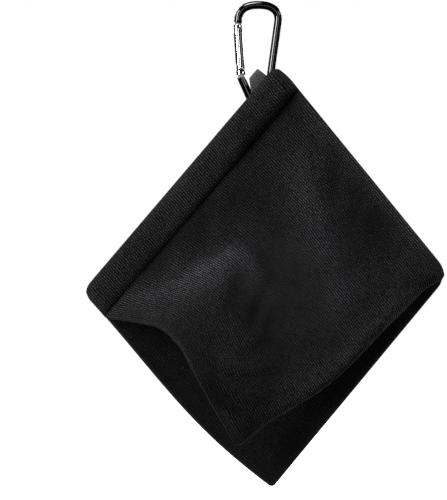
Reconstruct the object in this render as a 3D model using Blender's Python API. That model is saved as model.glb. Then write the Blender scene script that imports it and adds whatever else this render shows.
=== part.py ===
"""Pocket golf towel: two square leaves hung by a webbing loop from a small carabiner.

The leaves are joined along their closed edge and at both ends of the hemmed mouth. Their lower
edges are free, and the front leaf stands away from the back one there, as around a ball.
The origin is the inner top of the carabiner's arch, where something holds the towel up.
+Z is up, +X is to the right and the front leaf faces -Y.
"""

import math

import bmesh
import bpy
import numpy as np
from mathutils import Matrix, Vector

MM = 0.001

# Carabiner: a round rod, bent in the plane Y = 0.
ROD_DIAMETER = 4.0 * MM
CARABINER_LENGTH = 55.7 * MM
ARCH_HALF_WIDTH = 10.0 * MM
ARCH_RISE = 7.5 * MM
ARCH_POWER = 2.4
SPINE_INSET = 5.541 * MM
LOWER_RUN_LEAN = math.radians(24.2)
BEND_INNER_RADIUS = 1.75 * MM
KNEE_RADIUS = 2.0 * MM
NOSE_OUTWARD = 0.4 * MM
NOSE_DROP = 1.4 * MM
TONGUE_ROOT = 0.8 * MM
ROD_SIDES = 14

# Gate: a tube that turns on a rivet near the knee and hooks over the nose.
GATE_INSET = 1.8545 * MM
ABOVE_AND_BELOW_GATE = 28.0 * MM
GATE_LEAN = math.atan2(GATE_INSET, CARABINER_LENGTH - ABOVE_AND_BELOW_GATE)
GATE_DIAMETER = 4.6 * MM
GATE_BORE = 3.5 * MM
KNEE_TO_PIVOT = 4.6 * MM
SHOULDER_BELOW_PIVOT = 4.1 * MM
GATE_BELOW_PIVOT = 3.0 * MM
NOSE_GAP = 0.7 * MM
TONGUE_THICKNESS = 1.5 * MM
TONGUE_HALF_WIDTH = 1.5 * MM
NOSE_HALF_WIDTH = 1.3 * MM
NOSE_LENGTH = 4.0 * MM
HOOK_JAW = 0.9 * MM
PIN_DIAMETER = 1.0 * MM
RIVET_DIAMETER = 1.3 * MM
RIVET_HEAD_DIAMETER = 2.6 * MM
RIVET_HEAD_HEIGHT = 0.4 * MM
PIN_RECESS = 0.1 * MM
PLUNGER_LENGTH = 3.0 * MM
SPRING_WIRE = 0.4 * MM
SPRING_TURNS = 6
SPRING_LENGTH = 12.4 * MM

# Towel: the corners follow from the top corner, four edge lengths and two slopes.
CORNER_BEYOND_BEND = 19.916 * MM
MOUTH_TO_BEND_OUTSIDE = 11.148 * MM
MOUTH_EDGE = 150.0 * MM
CLOSED_EDGE = 136.0 * MM
LOWER_RIGHT_EDGE = 138.5 * MM
LOWER_LEFT_EDGE = 136.5 * MM
LOWER_LEFT_BOW = 4.5 * MM
MOUTH_SLOPE = math.radians(49.5)
CLOSED_SLOPE = math.radians(50.9)
CLOTH_THICKNESS = 1.6 * MM
HEM_WIDTH = 16.5 * MM
TOP_ROUNDING = (12.0 * MM, 5.0 * MM)
LEFT_ROUNDING = (6.0 * MM, 6.0 * MM)
RIGHT_ROUNDING = (9.0 * MM, 9.0 * MM)
BOTTOM_ROUNDING = (2.5 * MM, 2.5 * MM)
POCKET_DEPTH = 40.0 * MM
POCKET_FULLNESS = 11.0 * MM
BACK_BOW = 5.0 * MM
FRONT_BOW = 5.0 * MM

# The front leaf's fold between its left and right corners, from the corners of the towel.
FOLD_BELOW_HEM = 0.012
FOLD_START_INSET = (0.8 * MM, 1.2 * MM)
FOLD_END_INSET = (4.2 * MM, 2.2 * MM)
FOLD_START_STAND_OFF = 2.6 * MM
FOLD_END_STAND_OFF = 0.4 * MM
SEAM_LEFT_SHARE = 0.985
SEAM_RIGHT_SHARE = 0.955

# Webbing loop: a strip folded around the carabiner's lower bend and sewn into the hem.
WEBBING_THICKNESS = 1.2 * MM
WEBBING_WIDTH = 20.0 * MM
WEBBING_FOLD_LENGTH = 6.4 * MM
FOLD_ABOVE_BEND = 11.298 * MM
WEBBING_FROM_CORNER = 7.0 * MM
WEBBING_SIDE_BOW = 2.6 * MM

# Clearances between neighbours, and sewing thread.
GAP = 0.3 * MM
RUNNING_GAP = 0.2 * MM
CUT_PAST = 1.0 * MM
HEM_FOLD_GAP = 2.6 * MM
FLAP_FOLD_GAP = 1.6 * MM
SEAM_HALF_GAP = 0.65 * MM
THREAD_DIAMETER = 0.6 * MM
THREAD_SIDES = 6
THREAD_FROM_EDGE = 2.2 * MM

ROD_RADIUS = ROD_DIAMETER / 2
BEND_RADIUS = BEND_INNER_RADIUS + ROD_RADIUS
BEND_HEIGHT = 3 * ROD_RADIUS + BEND_RADIUS - CARABINER_LENGTH
SPINE_LEAN = math.atan2(SPINE_INSET, ROD_RADIUS - ARCH_RISE - BEND_HEIGHT)
GATE_RADIUS = GATE_DIAMETER / 2
UP = Vector((0, 0, 1))
FRONT = Vector((0, -1, 0))
BACK = Vector((0, 1, 0))


def flat(x, z):
    """A point of the plane Y = 0."""
    return Vector((x, 0.0, z))


def mix(a, b, share):
    return a + (b - a) * share


def ease(value):
    """0 to 1 with level ends."""
    value = min(1.0, max(0.0, value))
    return value * value * (3 - 2 * value)


def lines_cross(point, direction, other, other_direction):
    """Where two lines of the plane Y = 0 meet."""
    sides = np.array([[direction.x, -other_direction.x], [direction.z, -other_direction.z]])
    along = np.linalg.solve(sides, np.array([other.x - point.x, other.z - point.z]))[0]
    return point + direction * float(along)


def smooth_curve(points, steps):
    """Points along a Catmull-Rom curve through the given ones."""
    ends = [points[0] * 2 - points[1], *points, points[-1] * 2 - points[-2]]
    curve = []
    for a, b, c, d in zip(ends, ends[1:], ends[2:], ends[3:]):
        for k in range(steps):
            t = k / steps
            curve.append(
                (b * 2 + (c - a) * t + (a * 2 - b * 5 + c * 4 - d) * t**2 + (b * 3 - a - c * 3 + d) * t**3)
                / 2
            )
    return curve + [points[-1]]


def along_curve(curve, share):
    """The point at a share of a curve's length."""
    lengths = np.cumsum([0.0] + [(b - a).length for a, b in zip(curve, curve[1:])])
    at = share * lengths[-1]
    k = min(int(np.searchsorted(lengths, at, side="right")) - 1, len(curve) - 2)
    return mix(curve[k], curve[k + 1], (at - lengths[k]) / (lengths[k + 1] - lengths[k]))


# Materials and objects


def material(name, colour, roughness, metallic=0.0):
    made = bpy.data.materials.new(name)
    made.use_nodes = True
    shader = made.node_tree.nodes["Principled BSDF"]
    shader.inputs["Base Color"].default_value = (*colour, 1.0)
    shader.inputs["Roughness"].default_value = roughness
    shader.inputs["Metallic"].default_value = metallic
    return made


def add_object(name, bm, surface, smooth_angle=40):
    bmesh.ops.recalc_face_normals(bm, faces=bm.faces)
    mesh = bpy.data.meshes.new(name)
    bm.to_mesh(mesh)
    bm.free()
    mesh.materials.append(surface)
    mesh.shade_smooth()
    mesh.set_sharp_from_angle(angle=math.radians(smooth_angle))
    made = bpy.data.objects.new(name, mesh)
    bpy.context.scene.collection.objects.link(made)
    return made


def rings_to_solid(rings, closed=False):
    """Joins rings of equally many points, with a flat cap at each end unless the last meets the first."""
    bm = bmesh.new()
    made = [[bm.verts.new(point) for point in ring] for ring in rings]
    pairs = list(zip(made, made[1:]))
    if closed:
        pairs.append((made[-1], made[0]))
    for low, high in pairs:
        for k in range(len(low)):
            after = (k + 1) % len(low)
            bm.faces.new((low[k], low[after], high[after], high[k]))
    if not closed:
        bm.faces.new(made[0])
        bm.faces.new(made[-1])
    return bm


def tube(path, radius, sides, across=BACK):
    """A round bar along a path, with its rings built on the direction across."""
    rings = []
    for k, point in enumerate(path):
        before = path[max(k - 1, 0)]
        after = path[min(k + 1, len(path) - 1)]
        tangent = (after - before).normalized()
        normal = tangent.cross(across).normalized()
        binormal = normal.cross(tangent)
        turns = [2 * math.pi * side / sides for side in range(sides)]
        rings.append([point + (normal * math.cos(a) + binormal * math.sin(a)) * radius for a in turns])
    return rings_to_solid(rings)


def plate(outline, thickness):
    """A flat plate with its outline in the plane Y = 0 and half its thickness on each side."""
    half = Vector((0, thickness / 2, 0))
    return rings_to_solid([[p - half for p in outline], [p + half for p in outline]])


def cut(target, cutter_mesh, name, operation="DIFFERENCE"):
    """Adds a Boolean with a hidden cutter."""
    cutter = add_object(name, cutter_mesh, target.data.materials[0])
    cutter.hide_render = True
    cutter.hide_set(True)
    cutter.display_type = "WIRE"
    boolean = target.modifiers.new(name, "BOOLEAN")
    boolean.object = cutter
    boolean.operation = operation
    boolean.solver = "EXACT"


# Carabiner


def gate_direction():
    return flat(-math.sin(GATE_LEAN), math.cos(GATE_LEAN))


def nose_end():
    """The centre of the rod's end face above the gate."""
    return flat(-ARCH_HALF_WIDTH - NOSE_OUTWARD, ROD_RADIUS - ARCH_RISE - NOSE_DROP)


def bend_centre():
    return flat(ARCH_HALF_WIDTH - SPINE_INSET - BEND_RADIUS / math.cos(SPINE_LEAN), BEND_HEIGHT)


def knee():
    """Where the gate's axis meets the lower run of the rod."""
    outward = flat(-math.cos(LOWER_RUN_LEAN), -math.sin(LOWER_RUN_LEAN))
    run = flat(-math.sin(LOWER_RUN_LEAN), math.cos(LOWER_RUN_LEAN))
    return lines_cross(nose_end(), gate_direction(), bend_centre() + outward * BEND_RADIUS, run)


def gate_point(along, across=0.0):
    """A point at a height above the gate's pivot, and at a distance towards the spine."""
    side = flat(math.cos(GATE_LEAN), math.sin(GATE_LEAN))
    pivot = knee() + gate_direction() * KNEE_TO_PIVOT
    return pivot + gate_direction() * along + side * across


def nose_height():
    """The height of the nose's end face above the pivot."""
    return (nose_end() - gate_point(0.0)).dot(gate_direction())


def arch_path():
    points = []
    for k in range(17):
        turn = math.pi * (1 - k / 16)
        x = math.copysign(abs(math.cos(turn)) ** (2 / ARCH_POWER), math.cos(turn))
        z = math.sin(turn) ** (2 / ARCH_POWER) if 0 < k < 16 else 0.0
        points.append(flat(ARCH_HALF_WIDTH * x, ROD_RADIUS - ARCH_RISE + ARCH_RISE * z))
    return points


def arc(centre, radius, start, end, steps):
    turns = [mix(start, end, k / steps) for k in range(steps + 1)]
    return [centre + flat(math.cos(a), math.sin(a)) * radius for a in turns]


def rod_path():
    """From the nose over the arch, down the spine, around the bend and up to the shoulder."""
    spine_end = -SPINE_LEAN
    run_start = -math.pi + LOWER_RUN_LEAN
    bend = arc(bend_centre(), BEND_RADIUS, spine_end, run_start, 12)
    corner = knee()
    run = (bend[-1] - corner).normalized()
    reach = KNEE_RADIUS * math.tan((LOWER_RUN_LEAN - GATE_LEAN) / 2)
    corner_points = [corner + run * reach, corner + gate_direction() * reach]
    shoulder = gate_point(-SHOULDER_BELOW_PIVOT)
    arch = arch_path()
    spine = [mix(arch[-1], bend[0], k / 6) for k in range(1, 6)]
    lower = [mix(bend[-1], corner_points[0], k / 3) for k in range(1, 3)]
    return [nose_end(), *arch, *spine, *bend, *lower, *corner_points, shoulder]


def make_carabiner_body(surface):
    body = add_object("carabiner_body", tube(rod_path(), ROD_RADIUS, ROD_SIDES), surface)
    root = -SHOULDER_BELOW_PIVOT - TONGUE_ROOT
    lower = [(root, -1), (root, 1), (TONGUE_HALF_WIDTH, 1), (TONGUE_HALF_WIDTH, -1)]
    outline = [gate_point(along, side * TONGUE_HALF_WIDTH) for along, side in lower]
    cut(body, plate(outline, TONGUE_THICKNESS), "lower_tongue_guide", "UNION")
    top = nose_height()
    pin = latch_height()
    notch = PIN_DIAMETER / 2 + GAP
    jaw = pin - notch
    hook = [
        (top + TONGUE_ROOT, -NOSE_HALF_WIDTH),
        (top - NOSE_LENGTH, -NOSE_HALF_WIDTH),
        (top - NOSE_LENGTH, NOSE_HALF_WIDTH),
        (jaw, NOSE_HALF_WIDTH),
        (jaw, -notch),
        (pin + notch, -notch),
        (pin + notch, NOSE_HALF_WIDTH),
        (top + TONGUE_ROOT, NOSE_HALF_WIDTH),
    ]
    outline = [gate_point(along, across) for along, across in hook]
    cut(body, plate(outline, TONGUE_THICKNESS), "nose_hook_guide", "UNION")
    bore = tube(across_gate(0.0, GATE_DIAMETER), RIVET_DIAMETER / 2 + RUNNING_GAP, 16, UP)
    cut(body, bore, "tongue_bore_guide")


def latch_height():
    """The height of the latch pin above the pivot, just over the hook's jaw."""
    return nose_height() - NOSE_LENGTH + HOOK_JAW + PIN_DIAMETER / 2 + GAP


def across_gate(along, length):
    """A line through the gate's axis along Y."""
    half = Vector((0, length / 2, 0))
    return [gate_point(along) - half, gate_point(along) + half]


def gate_top():
    return nose_height() - NOSE_GAP


def bore_top():
    """The blind end of the gate's bore, where the spring sits."""
    return TONGUE_HALF_WIDTH + GAP + PLUNGER_LENGTH + GAP + SPRING_LENGTH + GAP


def slot(low, high):
    """A slot through the gate for a tongue, open towards both sides."""
    corners = [(low, -1), (high, -1), (high, 1), (low, 1)]
    outline = [gate_point(along, side * GATE_DIAMETER) for along, side in corners]
    return plate(outline, TONGUE_THICKNESS + 2 * GAP)


def make_gate(surface):
    ends = [gate_point(-GATE_BELOW_PIVOT), gate_point(gate_top())]
    gate = add_object("gate_tube", tube(ends, GATE_RADIUS, 20), surface)
    bore = [gate_point(-GATE_BELOW_PIVOT - CUT_PAST), gate_point(bore_top())]
    cut(gate, tube(bore, GATE_BORE / 2, 18), "gate_bore_guide")
    cam_room = TONGUE_HALF_WIDTH * math.sqrt(2) + 2 * GAP
    cut(gate, slot(-GATE_BELOW_PIVOT - CUT_PAST, cam_room), "tongue_slot_guide")
    nose_room = math.hypot(nose_height() - NOSE_LENGTH, GATE_RADIUS) - nose_height() + NOSE_LENGTH
    nose_slot = slot(nose_height() - NOSE_LENGTH - nose_room - GAP, gate_top() + CUT_PAST)
    cut(gate, nose_slot, "nose_slot_guide")
    rivet = tube(across_gate(0.0, 2 * GATE_DIAMETER), RIVET_DIAMETER / 2 + RUNNING_GAP, 16, UP)
    cut(gate, rivet, "rivet_bore_guide")
    pin = tube(across_gate(latch_height(), 2 * GATE_DIAMETER), PIN_DIAMETER / 2 + RUNNING_GAP, 16, UP)
    cut(gate, pin, "pin_bore_guide")


def make_gate_pins(steel):
    pin_length = GATE_DIAMETER - 2 * PIN_RECESS
    pin = tube(across_gate(latch_height(), pin_length), PIN_DIAMETER / 2, 12, UP)
    add_object("gate_latch_pin", pin, steel)
    face = GATE_RADIUS + RUNNING_GAP
    stations = [
        (-face - RIVET_HEAD_HEIGHT, RIVET_HEAD_DIAMETER * 0.36),
        (-face - RIVET_HEAD_HEIGHT / 2, RIVET_HEAD_DIAMETER / 2),
        (-face, RIVET_HEAD_DIAMETER / 2),
        (-face, RIVET_DIAMETER / 2),
    ]
    stations += [(-y, radius) for y, radius in reversed(stations)]
    turns = [2 * math.pi * side / 16 for side in range(16)]
    rings = []
    for y, radius in stations:
        centre = gate_point(0.0) + Vector((0, y, 0))
        rings.append([centre + flat(math.cos(a), math.sin(a)) * radius for a in turns])
    add_object("gate_pivot_rivet", rings_to_solid(rings), steel)


def make_spring(steel):
    start = TONGUE_HALF_WIDTH + GAP
    plunger = [gate_point(start), gate_point(start + PLUNGER_LENGTH)]
    add_object("spring_plunger", tube(plunger, GATE_BORE / 2 - RUNNING_GAP, 16), steel)
    coil_radius = GATE_BORE / 2 - GAP - SPRING_WIRE / 2
    steps = SPRING_TURNS * 10
    low = start + PLUNGER_LENGTH + GAP + SPRING_WIRE / 2
    height = SPRING_LENGTH - SPRING_WIRE
    path = []
    for k in range(steps + 1):
        turn = 2 * math.pi * SPRING_TURNS * k / steps
        centre = gate_point(low + height * k / steps, coil_radius * math.cos(turn))
        path.append(centre + Vector((0, coil_radius * math.sin(turn), 0)))
    add_object("gate_spring", tube(path, SPRING_WIRE / 2, 5, gate_direction()), steel)


# Towel: its plane has two shares, down from the mouth and along from the closed edge.


def mouth_above_bend():
    """From the centre of the carabiner's bend to the line of the mouth."""
    return MOUTH_TO_BEND_OUTSIDE - BEND_RADIUS - ROD_RADIUS


def top_corner():
    along, down = mouth_axes()
    return bend_centre() - along * CORNER_BEYOND_BEND - down * mouth_above_bend()


def towel_corners():
    top = top_corner()
    left = top + flat(-math.cos(MOUTH_SLOPE), -math.sin(MOUTH_SLOPE)) * MOUTH_EDGE
    right = top + flat(math.cos(CLOSED_SLOPE), -math.sin(CLOSED_SLOPE)) * CLOSED_EDGE
    apart = (right - left).length
    along = (apart**2 + LOWER_LEFT_EDGE**2 - LOWER_RIGHT_EDGE**2) / (2 * apart)
    down = math.sqrt(LOWER_LEFT_EDGE**2 - along**2)
    across = (right - left).normalized()
    bottom = left + across * along + flat(across.z, -across.x) * down
    return top, right, bottom, left


def mouth_axes():
    """The directions along the mouth and down from it at a right angle."""
    along = flat(-math.cos(MOUTH_SLOPE), -math.sin(MOUTH_SLOPE))
    return along, flat(math.sin(MOUTH_SLOPE), -math.cos(MOUTH_SLOPE))


def in_towel(down, along):
    """A point of the flat towel from its two shares. Its lower left edge bows out a little."""
    top, right, bottom, left = towel_corners()
    edge = (bottom - left).normalized()
    bow = flat(edge.z, -edge.x) * (LOWER_LEFT_BOW * math.sin(math.pi * down**1.5) * max(0.0, along) ** 2)
    return mix(mix(top, right, down), mix(left, bottom, down), along) + bow


def rounded(down, along):
    """The shares of a point once the four corners are rounded."""
    sides = (CLOSED_EDGE, MOUTH_EDGE)
    corners = (
        (0.0, 0.0, TOP_ROUNDING),
        (0.0, 1.0, LEFT_ROUNDING),
        (1.0, 0.0, RIGHT_ROUNDING),
        (1.0, 1.0, BOTTOM_ROUNDING),
    )
    for corner_down, corner_along, (first, second) in corners:
        first_share = first / sides[0]
        second_share = second / sides[1]
        x = 1 - abs(down - corner_down) / first_share
        y = 1 - abs(along - corner_along) / second_share
        if x > 0 and y > 0:
            x, y = x * math.sqrt(1 - y * y / 2), y * math.sqrt(1 - x * x / 2)
            down = corner_down + math.copysign((1 - x) * first_share, 0.5 - corner_down)
            along = corner_along + math.copysign((1 - y) * second_share, 0.5 - corner_along)
    return down, along


def hem_share():
    """The hem's lower edge as a share of the way down."""
    return HEM_WIDTH / (CLOSED_EDGE * math.sin(MOUTH_SLOPE + CLOSED_SLOPE))


def mouth_half_gap(down, along):
    """Half the space between the leaves in the hem, wide where the webbing loop and the rod pass."""
    loop_room = ROD_RADIUS + GAP + WEBBING_THICKNESS + GAP
    tail_room = WEBBING_THICKNESS + GAP
    from_closed = along * MOUTH_EDGE
    loop_end = WEBBING_FROM_CORNER + WEBBING_WIDTH
    rise = 1 - (1 - min(1.0, from_closed / (WEBBING_FROM_CORNER - 0.5 * MM))) ** 2
    fall = 1 - ease((from_closed - loop_end - 2 * MM) / (2 * WEBBING_WIDTH))
    room = mix(tail_room, loop_room, fall)
    depth = down / hem_share()
    room = mix(room, tail_room, ease((depth - 0.62) / 0.38))
    end = ease((1 - along) * MOUTH_EDGE / (3 * HEM_WIDTH))
    return mix(SEAM_HALF_GAP, room, min(rise, end))


def leaf_solid(name, surface, columns, rows, outward, cloth):
    """A closed sheet of cloth, from its inner face. Its upper edge is square to the side outward."""
    inner = [[surface(i, j) for j in rows] for i in columns]
    outer = []
    for i, column in enumerate(inner):
        made = []
        for j, point in enumerate(column):
            across = inner[min(i + 1, len(inner) - 1)][j] - inner[max(i - 1, 0)][j]
            down = column[min(j + 1, len(column) - 1)] - column[max(j - 1, 0)]
            normal = across.cross(down).normalized()
            normal *= math.copysign(1.0, normal.dot(outward))
            normal = mix(outward, normal, ease(3 * j / (len(column) - 1))).normalized()
            made.append(point + normal * CLOTH_THICKNESS)
        outer.append(made)
    bm = bmesh.new()
    faces = [[[bm.verts.new(p) for p in column] for column in side] for side in (inner, outer)]
    last_i = len(columns) - 1
    last_j = len(rows) - 1
    for side in faces:
        for i in range(last_i):
            for j in range(last_j):
                bm.faces.new((side[i][j], side[i + 1][j], side[i + 1][j + 1], side[i][j + 1]))
    rim = [(i, 0) for i in range(last_i)] + [(last_i, j) for j in range(last_j)]
    rim += [(i, last_j) for i in range(last_i, 0, -1)] + [(0, j) for j in range(last_j, 0, -1)]
    for (i, j), (k, m) in zip(rim, rim[1:] + rim[:1]):
        bm.faces.new((faces[0][i][j], faces[0][k][m], faces[1][k][m], faces[1][i][j]))
    return add_object(name, bm, cloth, 60)


def shares(count, low=0.0, high=1.0, fine=1.0):
    """Evenly spaced shares, closer together near the low end where fine is over 1."""
    return [low + (high - low) * (k / count) ** fine for k in range(count + 1)]


def hem_surface(side):
    def surface(along, down):
        place = in_towel(*rounded(down, along))
        return place + Vector((0, side * mouth_half_gap(down, along), 0))

    return surface


def make_hem_bands(cloth):
    for name, side in (("front_hem_band", -1), ("back_hem_band", 1)):
        outward = FRONT if side < 0 else BACK
        leaf_solid(name, hem_surface(side), shares(30, fine=1.7), shares(7, 0, hem_share()), outward, cloth)


def panel_top():
    """Where the main panels start, below the fold at the hem's seam."""
    return hem_share() + HEM_FOLD_GAP / CLOSED_EDGE


def back_surface(along, down):
    """The back panel's inner face, which bows away from the front leaf."""
    place = in_towel(*rounded(down, along))
    below = (down - panel_top()) / (1 - panel_top())
    bow = math.sin(math.pi * min(1, max(0, along)) * 0.5) * math.sin(math.pi * (0.08 + 0.84 * below))
    seam = mouth_half_gap(hem_share(), along)
    start = mix(seam, SEAM_HALF_GAP, ease(4 * below))
    return place + Vector((0, start + BACK_BOW * max(0.0, bow) * ease(along * 6), 0))


def make_back_panel(cloth):
    leaf_solid("back_panel", back_surface, shares(18), shares(16, panel_top(), 1), BACK, cloth)


def fold_line():
    """The straight line that the front flap lifts about, from the left corner to the right one."""
    right = towel_corners()[1]
    start = in_towel(panel_top() + FOLD_BELOW_HEM, 1.0) + flat(FOLD_START_INSET[0], -FOLD_START_INSET[1])
    end = right - flat(*FOLD_END_INSET)
    start.y = -SEAM_HALF_GAP - FOLD_START_STAND_OFF
    end.y = -SEAM_HALF_GAP - FOLD_END_STAND_OFF
    return start, end


def upper_edge():
    """The front panel's upper edge: along the hem's seam to the closed edge and down it."""
    seam = []
    for along in shares(12, SEAM_LEFT_SHARE, 0.0):
        point = in_towel(*rounded(panel_top(), along))
        point.y = -mouth_half_gap(hem_share(), along)
        seam.append(point)
    side = []
    for down in shares(12, panel_top(), SEAM_RIGHT_SHARE)[1:]:
        point = in_towel(*rounded(down, 0.0))
        point.y = -SEAM_HALF_GAP
        side.append(point)
    return seam + side


def front_surface(share, down):
    """The front panel's inner face, from its upper edge to the fold line."""
    start, end = fold_line()
    direction = (end - start).normalized()
    lift = direction.cross(BACK) * (FLAP_FOLD_GAP / 2)
    if lift.z < 0:
        lift = -lift
    low = mix(start, end, share) + lift
    high = along_curve(UPPER_EDGE, share)
    bow = FRONT_BOW * math.sin(math.pi * share) * math.sin(math.pi * down)
    return mix(high, low, down) + FRONT * bow


def free_edge():
    """The flap's lower edge: over the open pocket, down to the corner and up to the closed edge."""
    start, end = fold_line()
    over_pocket = [(0.281, 0.897, 0.72), (0.413, 0.873, 1.0), (0.555, 0.902, 1.03)]
    corner = (0.793, 0.963, 0.22)
    lower_right = [(0.842, 0.811, 0.22), (0.929, 0.535, 0.15), (0.956, 0.227, 0.08)]

    def place(down, along, depth):
        return in_towel(down, along) + FRONT * (SEAM_HALF_GAP + depth * POCKET_DEPTH)

    beside_start = start + Vector((0.6 * MM, -0.5 * MM, -1.6 * MM))
    beside_end = end + Vector((-0.6 * MM, -0.2 * MM, -1.8 * MM))
    left = [beside_start, *(place(*point) for point in over_pocket), place(*corner)]
    right = [place(*corner), *(place(*point) for point in lower_right), beside_end]
    return smooth_curve(left, 6) + smooth_curve(right, 6)[1:]


def flap_surface(share, down):
    """The flap's inner face, from the fold line to its free edge, bulging in between."""
    start, end = fold_line()
    direction = (end - start).normalized()
    drop = direction.cross(BACK) * (FLAP_FOLD_GAP / 2)
    if drop.z > 0:
        drop = -drop
    high = mix(start, end, share) + drop
    low = along_curve(FREE_EDGE, share)
    over_ball = math.exp(-(((share - 0.37) / 0.13) ** 2))
    bulge = POCKET_FULLNESS * (0.3 * math.sin(math.pi * share) + over_ball)
    return mix(high, low, down) + FRONT * (bulge * math.sin(math.pi * down))


def make_front_leaf(cloth):
    leaf_solid("front_panel", front_surface, shares(24), shares(10), FRONT, cloth)
    leaf_solid("front_flap", flap_surface, shares(26), shares(10), FRONT, cloth)


# Webbing and thread


def webbing_columns(count):
    """Lines from the loop's fold to its sewn end, across the webbing's width."""
    along, down = mouth_axes()
    top = top_corner()
    tail_depth = HEM_WIDTH - 0.8 * MM
    fold_start = WEBBING_FROM_CORNER + 1.5 * MM
    reach = FOLD_ABOVE_BEND - mouth_above_bend()
    made = []
    for k in range(count + 1):
        share = k / count
        fold = top + along * (fold_start + share * WEBBING_FOLD_LENGTH) - down * reach
        tail = top + along * (WEBBING_FROM_CORNER + share * WEBBING_WIDTH) + down * tail_depth
        bow = along * WEBBING_SIDE_BOW * share
        made.append((fold, tail, bow))
    return made


def webbing_half(place, cavity):
    """Half the loop's thickness at a share of the way from its fold: round the rod, then closed."""
    inner = ROD_RADIUS + GAP + 0.05 * MM
    if cavity:
        opening = ease(place / 0.22) ** 0.7
        closing = 1 - ease((place - 0.8) / 0.2)
        return max(0.02 * MM, inner * min(opening, closing))
    opening = ease(place / 0.17) ** 0.5
    closing = 1 - ease((place - 0.72) / 0.15)
    return WEBBING_THICKNESS * max(0.35, opening) + inner * min(opening, closing)


def webbing_ring(column, cavity):
    """A closed ring around one column, on the loop's outside or around its eye."""
    fold, tail, bow = column
    low, high = (0.07, 0.86) if cavity else (0.0, 1.0)
    steps = 14
    front, back = [], []
    for k in range(steps + 1):
        place = mix(low, high, k / steps)
        centre = mix(fold, tail, place) + bow * math.sin(math.pi * place)
        half = webbing_half(k / steps, cavity)
        front.append(centre + FRONT * half)
        back.append(centre + BACK * half)
    return front + back[::-1]


def make_webbing(surface, thread):
    columns = webbing_columns(8)
    rings = [webbing_ring(column, False) for column in columns]
    rings += [webbing_ring(column, True) for column in reversed(columns)]
    add_object("webbing_loop", rings_to_solid(rings, closed=True), surface, 50)
    below = mouth_axes()[1] * (GAP + THREAD_DIAMETER / 2)
    tack = [columns[0][1] + below, columns[-1][1] + below]
    add_object("webbing_tack", tube(tack, THREAD_DIAMETER / 2, THREAD_SIDES), thread)


def make_threads(thread):
    radius = THREAD_DIAMETER / 2
    beside = mouth_axes()[1] * (GAP + radius + 0.1 * MM)
    for name, side in (("front_hem_thread", -1), ("back_hem_thread", 1)):
        middle = Vector((0, side * CLOTH_THICKNESS / 2, 0))
        hem = hem_surface(side)
        path = [hem(along, hem_share()) + beside + middle for along in shares(24, 0.02, SEAM_LEFT_SHARE)]
        add_object(name, tube(path, radius, THREAD_SIDES), thread)
    inward = THREAD_FROM_EDGE / MOUTH_EDGE
    downs = shares(16, panel_top() + 0.01, 0.9)
    path = [flat(p.x, p.z) for p in (in_towel(down_share, inward) for down_share in downs)]
    add_object("side_seam_thread", tube(path, radius, THREAD_SIDES), thread)
    left = shares(6, 0.25 * hem_share(), 0.95 * hem_share())
    path = [in_towel(down_share, 1 - inward) for down_share in left]
    add_object("left_corner_tack", tube(path, radius, THREAD_SIDES), thread)


def set_origin(point, *names):
    """Puts the origin of the pieces that turn together on their axis."""
    for name in names:
        piece = bpy.data.objects[name]
        piece.data.transform(Matrix.Translation(-point))
        piece.location = point


for old in list(bpy.data.objects):
    bpy.data.objects.remove(old, do_unlink=True)

UPPER_EDGE = upper_edge()
FREE_EDGE = free_edge()

black_enamel = material("black_enamel", (0.012, 0.012, 0.013), 0.16, 0.6)
polished_steel = material("polished_steel", (0.72, 0.72, 0.74), 0.18, 1.0)
spring_steel = material("spring_steel", (0.5, 0.5, 0.52), 0.3, 1.0)
black_terry = material("black_terry", (0.018, 0.018, 0.02), 0.95)
black_webbing = material("black_webbing", (0.012, 0.012, 0.013), 0.8)
black_thread = material("black_thread", (0.03, 0.03, 0.032), 0.7)

make_carabiner_body(black_enamel)
make_gate(polished_steel)
make_gate_pins(polished_steel)
make_spring(spring_steel)
make_hem_bands(black_terry)
make_back_panel(black_terry)
make_front_leaf(black_terry)
make_webbing(black_webbing, black_thread)
make_threads(black_thread)

hem_fold = in_towel((hem_share() + panel_top()) / 2, 0.5)
set_origin(gate_point(0.0), "gate_tube", "gate_latch_pin", "gate_pivot_rivet")
set_origin(gate_point(0.0), "gate_spring", "spring_plunger")
set_origin(bend_centre(), "webbing_loop", "webbing_tack", "front_hem_band", "back_hem_band")
set_origin(bend_centre(), "front_hem_thread", "back_hem_thread", "left_corner_tack")
set_origin(hem_fold, "front_panel", "back_panel", "side_seam_thread")
set_origin(fold_line()[0], "front_flap")
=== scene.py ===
"""The looks of the pocket golf towel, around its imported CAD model.

Lengths inside the shape functions are millimetres, as are the texture coordinates of the cloth.
Depth is the distance in front of the plane Y = 0, towards the front leaf's face.
"""

import math

import bmesh
import bpy
import numpy as np
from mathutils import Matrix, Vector


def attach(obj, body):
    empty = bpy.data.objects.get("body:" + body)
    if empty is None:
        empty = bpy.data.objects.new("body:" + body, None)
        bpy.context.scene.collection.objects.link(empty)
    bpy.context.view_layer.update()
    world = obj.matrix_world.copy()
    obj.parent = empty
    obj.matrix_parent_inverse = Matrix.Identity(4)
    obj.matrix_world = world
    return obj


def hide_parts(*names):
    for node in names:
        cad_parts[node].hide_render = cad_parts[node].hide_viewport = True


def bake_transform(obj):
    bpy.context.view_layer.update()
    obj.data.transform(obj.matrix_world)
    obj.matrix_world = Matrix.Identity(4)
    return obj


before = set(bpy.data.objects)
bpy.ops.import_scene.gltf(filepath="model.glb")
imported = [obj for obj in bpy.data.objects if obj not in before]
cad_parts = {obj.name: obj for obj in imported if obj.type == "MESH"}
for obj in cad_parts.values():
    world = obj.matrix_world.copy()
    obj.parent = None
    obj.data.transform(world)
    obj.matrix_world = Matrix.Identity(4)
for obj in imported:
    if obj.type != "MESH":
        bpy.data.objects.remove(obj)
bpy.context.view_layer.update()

MM = 0.001
CAMERA_DISTANCE = 4.0
VIEW_CENTRE = (-0.01745, 0.0, -0.1205)
VIEW_HEIGHT = 0.25
SENSOR = 36.0
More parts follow.
